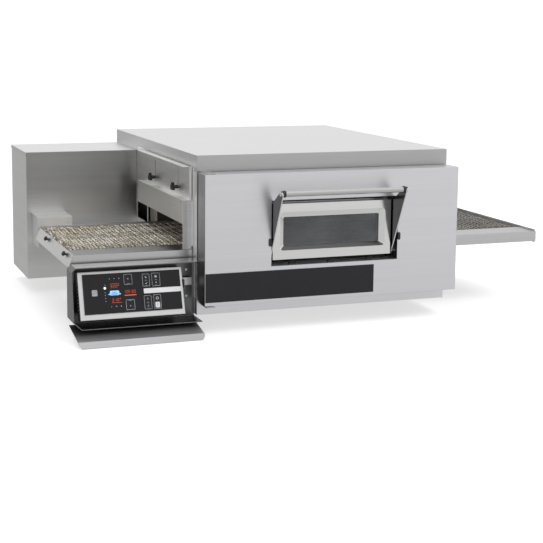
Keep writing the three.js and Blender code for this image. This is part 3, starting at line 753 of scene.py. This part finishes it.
def key_decal(name, key, material, shapes, base=FILM, thick=PRINT):
    decal(name, material, shapes, "button_" + key, base, thick=thick)


def key_ring(name, key, outer, inner):
    shape = ring_prism(outer, inner, on_face, FILM, FILM + PRINT)
    add_mesh(name, shape, "line", "button_" + key)


MATERIAL_NAMES = {"lamp": "led"}

for key, (left, right_edge, bottom, top) in KEYS.items():
    outer, inner = (rounded(left + inset, right_edge - inset, bottom + inset, top - inset, radius)
                    for inset, radius in ((0.9, 2.6), (1.45, 2.1)))
    key_ring("outline_" + key, key, outer, inner)

key_decal("symbol_up", "up", "line", [triangle(-203.5, 107, 2.0), bar(-203.5, 93.0, 9, 0.6)])
key_decal("symbol_down", "down", "line",
          [triangle(-202, 32, 2.0, up=False), bar(-202, 47.2, 9, 0.6)])
key_decal("symbol_top_left", "top_left", "line", [
    turned(bar(-153, 108, 2.2, 5.2), (-153, 108), 38),
    bar(-153, 99.5, 5, 0.7),
    turned(bar(-151.5, 91.5, 1.0, 5.0), (-151.5, 91.5), -35),
    turned(bar(-154.6, 90.3, 1.0, 2.8), (-154.6, 90.3), 40),
    bar(-153, 84.9, 7, 0.6)])
petals = [turned(disc(-124.8, 110.6, 1.7, 8, squash=0.7), (-124.8, 108.6), 72 * i)
          for i in range(5)]
key_decal("symbol_top_right", "top_right", "line", petals + [
    bar(-124.8, 99.6, 5, 0.7), triangle(-124.8, 92, 2.2, up=False), bar(-124.8, 84.6, 7, 0.6)])
key_decal("symbol_bottom_left", "bottom_left", "grey", [
    triangle(-152.3, 49.5, 2.4), bar(-152.3, 46.6, 6, 0.6),
    bar(-152.3, 38.8, 6.5, 0.8), bar(-152.3, 36.6, 6.5, 0.8),
    triangle(-152.3, 29.4, 2.8), bar(-152.3, 25.9, 7, 0.6), bar(-152.3, 21.6, 7, 0.6)])
key_ring("symbol_cycle", "bottom_right", disc(-125.4, 48.3, 3.9, 18), disc(-125.4, 48.3, 2.7, 18))
START_KEY = 0.25                        # thickness of the raised start key
key_decal("start_key_face", "bottom_right", "line", [rounded(-132, -119, 22, 38, 3.2)],
          thick=START_KEY)
key_decal("start_key_mark", "bottom_right", "grey", [rounded(-126.2, -124.8, 25.5, 34.5, 0.6)],
          base=FILM + START_KEY)

decal("silver_strip", "strip", [rounded(-161.5, -55.7, 63.2, 77, 0.8)],
      thick=0.2)
decal("sensor_window", "grey", [rounded(-306, -291, 64, 81, 2.4)])
decal("sensor_dots", "dark",
      [disc(-302 + 3.6 * i, 68.5 + 4 * j, 0.8, 8) for i in range(3) for j in range(3)],
      base=GLASS + PRINT)
decal("lamp_dots", "lamp", [
    disc(-269.5, 48.6, 1.1, 10), disc(-269.5, 56.5, 1.1, 10), disc(-269.5, 64.5, 1.1, 10),
    disc(-269.5, 72.0, 1.1, 10), disc(-268.3, 92.5, 1.1, 10)])
decal("lamp_lit", "lit", [disc(-269.5, 84.3, 3.1, 16)])
decal("small_marks", "line", [
    disc(-255, 109.4, 0.9, 8), bar(-242, 109.4, 3.6, 0.8), disc(-228.5, 109.4, 1.2, 8),
    bar(-254.5, 33, 0.9, 3.2), bar(-241, 33, 3.6, 0.9), disc(-227.6, 33, 1.2, 8)])
decal("belt_symbol", "ice", [
    rounded(-256.5, -230.5, 63.5, 76.5, 3.4),
    [(-262, 66.5), (-257, 64.5), (-257, 69.5)], [(-225, 66.5), (-230, 64.5), (-230, 69.5)]])
decal("belt_symbol_bars", "blue", [
    rounded(-254, -233, 66, 68.4, 1.0), bar(-243.5, 71.6, 13, 1.8),
    rounded(-248, -238, 64.0, 65.0, 0.4)], base=GLASS + PRINT)

# seven-segment digits: each segment's ends as shares of the width and height
SEGMENTS = {"a": (0, 1, 1, 1), "b": (1, 1, 1, 0.5), "c": (1, 0.5, 1, 0), "d": (0, 0, 1, 0),
            "e": (0, 0.5, 0, 0), "f": (0, 1, 0, 0.5), "g": (0, 0.5, 1, 0.5)}
DIGITS = {"0": "abcdef", "1": "bc", "2": "abged", "3": "abgcd", "5": "afgcd"}
DIGIT_WIDTH = 4.2
STROKE = 0.72
SLANT = 0.08                            # sideways lean for each unit of height
SEGMENT_TRIM = 0.5                      # cut off each end of a segment


def segment(start, end):
    along = Vector((end[0] - start[0], end[1] - start[1])).normalized()
    half = Vector((-along.y, along.x)) * (STROKE / 2)
    u0, v0 = start[0] + along.x * SEGMENT_TRIM, start[1] + along.y * SEGMENT_TRIM
    u1, v1 = end[0] - along.x * SEGMENT_TRIM, end[1] - along.y * SEGMENT_TRIM
    return [(u0 - half.x, v0 - half.y), (u1 - half.x, v1 - half.y),
            (u1 + half.x, v1 + half.y), (u0 + half.x, v0 + half.y)]


def digits(text, u, v, height=7.4, gap=2.9):
    """Outlines of a number; a letter o stands for the degree mark."""
    lean = SLANT * height
    shapes = []
    for char in text:
        if char == ":":
            shapes += [disc(u + lean * k, v + height * k, STROKE * 0.6, 6) for k in (0.3, 0.7)]
            u += gap * 0.9
        elif char == "o":
            shapes.append(disc(u + 1.0 + lean, v + height - 1.1, 1.3, 10))
            u += gap + 2.4
        else:
            for x0, y0, x1, y1 in (SEGMENTS[key] for key in DIGITS[char]):
                shapes.append(segment((u + x0 * DIGIT_WIDTH + lean * y0, v + y0 * height),
                                      (u + x1 * DIGIT_WIDTH + lean * y1, v + y1 * height)))
            u += DIGIT_WIDTH + gap
    return shapes


for name, material, shapes in (
        ("digits_upper", "red", digits("320o", -254, 84.4)),
        ("digits_lower", "red", digits("310o", -252, 47.2)),
        ("digits_time", "red", digits("05:30", -213, 67.5, height=7.6, gap=2.7)),
        ("display_rules", "redline", [bar(-241, 95.2, 26, 0.5), bar(-239, 43.4, 28, 0.6)]),
        ("display_bar", "redline", [bar(-199.5, 61.5, 33, 1.9)])):
    decal(name, material, shapes, thick=LIT_PRINT)


# ------------------------------------------------------------------ louvres (mm)
def louvres():
    """Nine hooded slots in the control box's left side, each with a dark sheet of painted shade in
    its opening.
    """
    box_left = in_mm(control_lo)[0]
    back, front = -23.5, -5.5           # along the depth of the box, from its face
    inset, reach = 1.5, 2.2             # of the hood's outer lip

    def on_side(depth, up, out):
        point = on_face(0, up, depth)
        return Vector((CORNER.x + (box_left - out) * MM, point.y, point.z))

    hoods, slot_shades = [], []
    for i in range(9):
        low = 16 + i * 9.4
        # painted shade: a dark sheet in the opening under each hood
        slot_shades.append(prism(rounded(back, front, low, low + 3.4, 1.2), on_side, 0.0, 0.15))
        points = [(back, low + 3.6, 0.0), (front, low + 3.6, 0.0),
                  (front - inset, low + 1.4, reach), (back + inset, low + 1.4, reach),
                  (back, low + 5.4, 0.0), (front, low + 5.4, 0.0)]
        faces = [(0, 3, 2, 1), (3, 4, 5, 2), (0, 4, 3), (1, 2, 5)]
        hoods.append(([on_side(*point) for point in points], faces))
    add_mesh("control_box_louvres", merge(hoods), "panel", ROOT)
    add_mesh("control_box_slot_shade", merge(slot_shades), "dark", ROOT)


louvres()


# ------------------------------------------------------------------ small fittings (mm)
def flap_bumpers():
    """Black bumpers on the door beside the flap's arms."""
    door_front = in_mm(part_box("door_skin")[0])[1]
    for end, left, right_edge in (("entry", 187, 195.6), ("exit", 585.4, 594)):
        shape = prism(rounded(left, right_edge, 199, 221, 3.6, steps=5),
                      lambda x, z, out: at(x, door_front - out, z), 0.2, 4.2)
        bumper = add_mesh("flap_bumper_" + end, shape, "black", "front_door")
        edge = bumper.modifiers.new("edge", "BEVEL")
        edge.width = 0.0009
        edge.segments = 3


def handle_caps():
    """Bright domed caps in the ends of the handle's mounts."""
    handle_lo, handle_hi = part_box("window_handle")
    middle = (handle_lo + handle_hi) / 2
    carrier_lo, carrier_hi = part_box("window_carrier")
    for end, x, way in (("entry", carrier_lo.x, -1), ("exit", carrier_hi.x, 1)):
        shape = domed(Vector((x, middle.y, middle.z)), (way, 0, 0), radius=6.6, height=2.2,
                      steps=24)
        add_mesh("handle_cap_" + end, shape, "polish", "window_flap",
                 smooth=True)


def flap_stops():
    """Three small stops in the gap under the flap."""
    for i in range(3):
        x = 262 + 120 * i
        shape = prism(rounded(x - 9, x + 9, 142.2, 147.5, 1.6, steps=3),
                      lambda x, z, depth: at(x, -66 + depth, z), 0.0, 9.0)
        add_mesh("flap_stop_%d" % i, shape, "black", "front_door")


box_lo, box_hi = (in_mm(point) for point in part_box("technical_compartment"))


def compartment_lid():
    """Lid of the technical compartment, folded down over its left side."""
    left, top = box_lo[0], box_hi[2]
    gap, overhang, rise = 0.05, 0.6, 1.2
    front, back = box_lo[1] - overhang, box_hi[1] + overhang
    lip = slab(left - 1.4, left - gap, front, back, top - 10, top + rise)
    sheet = slab(left - gap, -1.0, front, back, top + gap, top + rise)
    add_mesh("compartment_lid", merge([lip, sheet]), "top", ROOT)


def screws():
    """Heads on the panel housing, the rear panel and the compartment's back."""
    rear = in_mm(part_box("rear_panel")[1])[1]
    # x places, z places, y, way they face along y, radius, height
    groups = (
        ((-24,), (128, 52), 22.9, -1, 4.2, 2.4),
        ((16, 265, 515, 764), (58, 392), rear, 1, 3.6, 2.0),
        ((-348, -180, -14), (14, 390), box_hi[1], 1, 3.6, 2.0))
    heads = [domed(at(x, y, z), (0, way, 0), radius, height)
             for xs, zs, y, way, radius, height in groups for x in xs for z in zs]
    add_mesh("screws", merge(heads), "screw", ROOT)


flap_bumpers()
handle_caps()
flap_stops()
compartment_lid()
# inner heat flap above the belt at the exit
add_mesh("exit_heat_flap", slab(774.0, 775.2, 141, 519, 236, 298), "dull", ROOT)
# bright face of the bracket that carries the control box
add_mesh("box_bracket_face", slab(-45.8, -12.2, 9.3, 9.85, 86.3, 107.7), "body", ROOT)
screws()


# ------------------------------------------------------------------ stage
def floor_material():
    """Pale floor with a glow of its own; reflections see a plain gradient instead."""
    material, tree = new_material("mat_stage_floor")
    place = tree.coords()
    rays = tree.node("LightPath", {}).outputs
    fine = tree.noise(place, scale=30.0, detail=3.0, rough=0.5)
    matt = tree.socket("BsdfDiffuse", {"Color": tree.blend(fine, grey(0.62), grey(0.64))})
    lift = tree.socket("Emission", {"Strength": tree.mix(rays["Is Camera Ray"], 0.30, 0.46)})
    x, y, _ = tree.split(place)
    # brighter towards the exit end and towards the front
    gradient = tree.add(tree.smooth(x, (-3.0, 1.5), to=(0.42, 0.62)),
                        tree.smooth(y, (0.5, -3.0), to=(0.0, 0.12)))
    mirrored = tree.socket("Emission", {"Strength": gradient})
    seen = tree.socket("AddShader", {0: matt, 1: lift})
    tree.finish(tree.mix_shader(rays["Is Glossy Ray"], seen, mirrored))
    return material


def stage_floor(half=14.0, drop=0.0015):
    z = cad_lo.z - drop
    mesh = bpy.data.meshes.new("stage_floor")
    corners = [(x, y, z) for x, y in rectangle(-half, half, -half, half)]
    mesh.from_pydata(corners, [], [(0, 1, 2, 3)])
    mesh.materials.append(floor_material())
    floor = bpy.data.objects.new("stage_floor", mesh)
    bpy.context.scene.collection.objects.link(floor)


def studio_world():
    """White surround for reflections, darker low on the left, brighter behind and above."""
    world = bpy.data.worlds.new("studio")
    bpy.context.scene.world = world
    world.use_nodes = True
    tree = Tree(world.node_tree)
    x, y, z = tree.split(tree.coords("Generated"))
    rays = tree.node("LightPath", {}).outputs
    low = tree.smooth(z, (0.15, 0.6), to=(1.0, 0.0))
    low_left = tree.times(tree.smooth(x, (-0.05, -0.6)), low)
    light = tree.minus(0.80, tree.times(low_left, 0.34))
    light = tree.add(light, tree.times(tree.smooth(y, (0.2, 0.9)), 0.16))
    light = tree.add(light, tree.times(tree.smooth(z, (0.3, 0.8)), 0.22))
    # even strengths for diffuse light and for the backdrop
    strength = tree.mix(rays["Is Diffuse Ray"], light, 0.95)
    strength = tree.mix(rays["Is Camera Ray"], strength, 1.05)
    tree.finish(tree.socket("Background", {"Color": grey(1), "Strength": strength}),
                "OutputWorld")


def softbox(name, place, width, height, power, aim=(0, 0, 0.2)):
    """A rectangular light turned to the aim and hidden from reflections."""
    lamp = bpy.data.lights.new(name, "AREA")
    lamp.shape = "RECTANGLE"
    lamp.size = width
    lamp.size_y = height
    lamp.energy = power
    light = bpy.data.objects.new(name, lamp)
    bpy.context.scene.collection.objects.link(light)
    light.location = place
    light.rotation_mode = "QUATERNION"
    light.rotation_quaternion = (Vector(aim) - Vector(place)).to_track_quat("-Z", "Y")
    light.visible_glossy = False


def add_camera(place, yaw, pitch, roll, lens, shift_y):
    """A camera turned from +y towards +x by yaw and downwards by pitch, in radians."""
    forward = Vector((math.sin(yaw) * math.cos(pitch), math.cos(yaw) * math.cos(pitch),
                      -math.sin(pitch)))
    level = Vector((math.cos(yaw), -math.sin(yaw), 0))
    down = forward.cross(level)
    rolled_right = level * math.cos(roll) + down * math.sin(roll)
    rolled_down = -level * math.sin(roll) + down * math.cos(roll)
    matrix = Matrix((rolled_right, -rolled_down, -forward)).transposed().to_4x4()
    matrix.translation = place
    data = bpy.data.cameras.new("camera")
    camera = bpy.data.objects.new("camera", data)
    bpy.context.scene.collection.objects.link(camera)
    camera.matrix_world = matrix
    data.sensor_width = 36.0
    data.lens = lens
    data.shift_x = 0.0
    data.shift_y = shift_y
    data.clip_start = 0.05
    data.clip_end = 60
    bpy.context.scene.camera = camera


stage_floor()
studio_world()
softbox("key_softbox", (1.3, -2.3, 2.7), width=2.4, height=1.6, power=55)
softbox("top_softbox", (-0.2, 0.5, 2.8), width=2.6, height=2.0, power=40)
add_camera((-1.44204, -3.84235, 0.81263), yaw=0.36076, pitch=0.13627, roll=-0.0106,
           lens=84.740, shift_y=-0.13075506)

view = bpy.context.scene.view_settings
view.view_transform = "Standard"
view.look = "None"
view.exposure = 0.0
view.gamma = 1.0
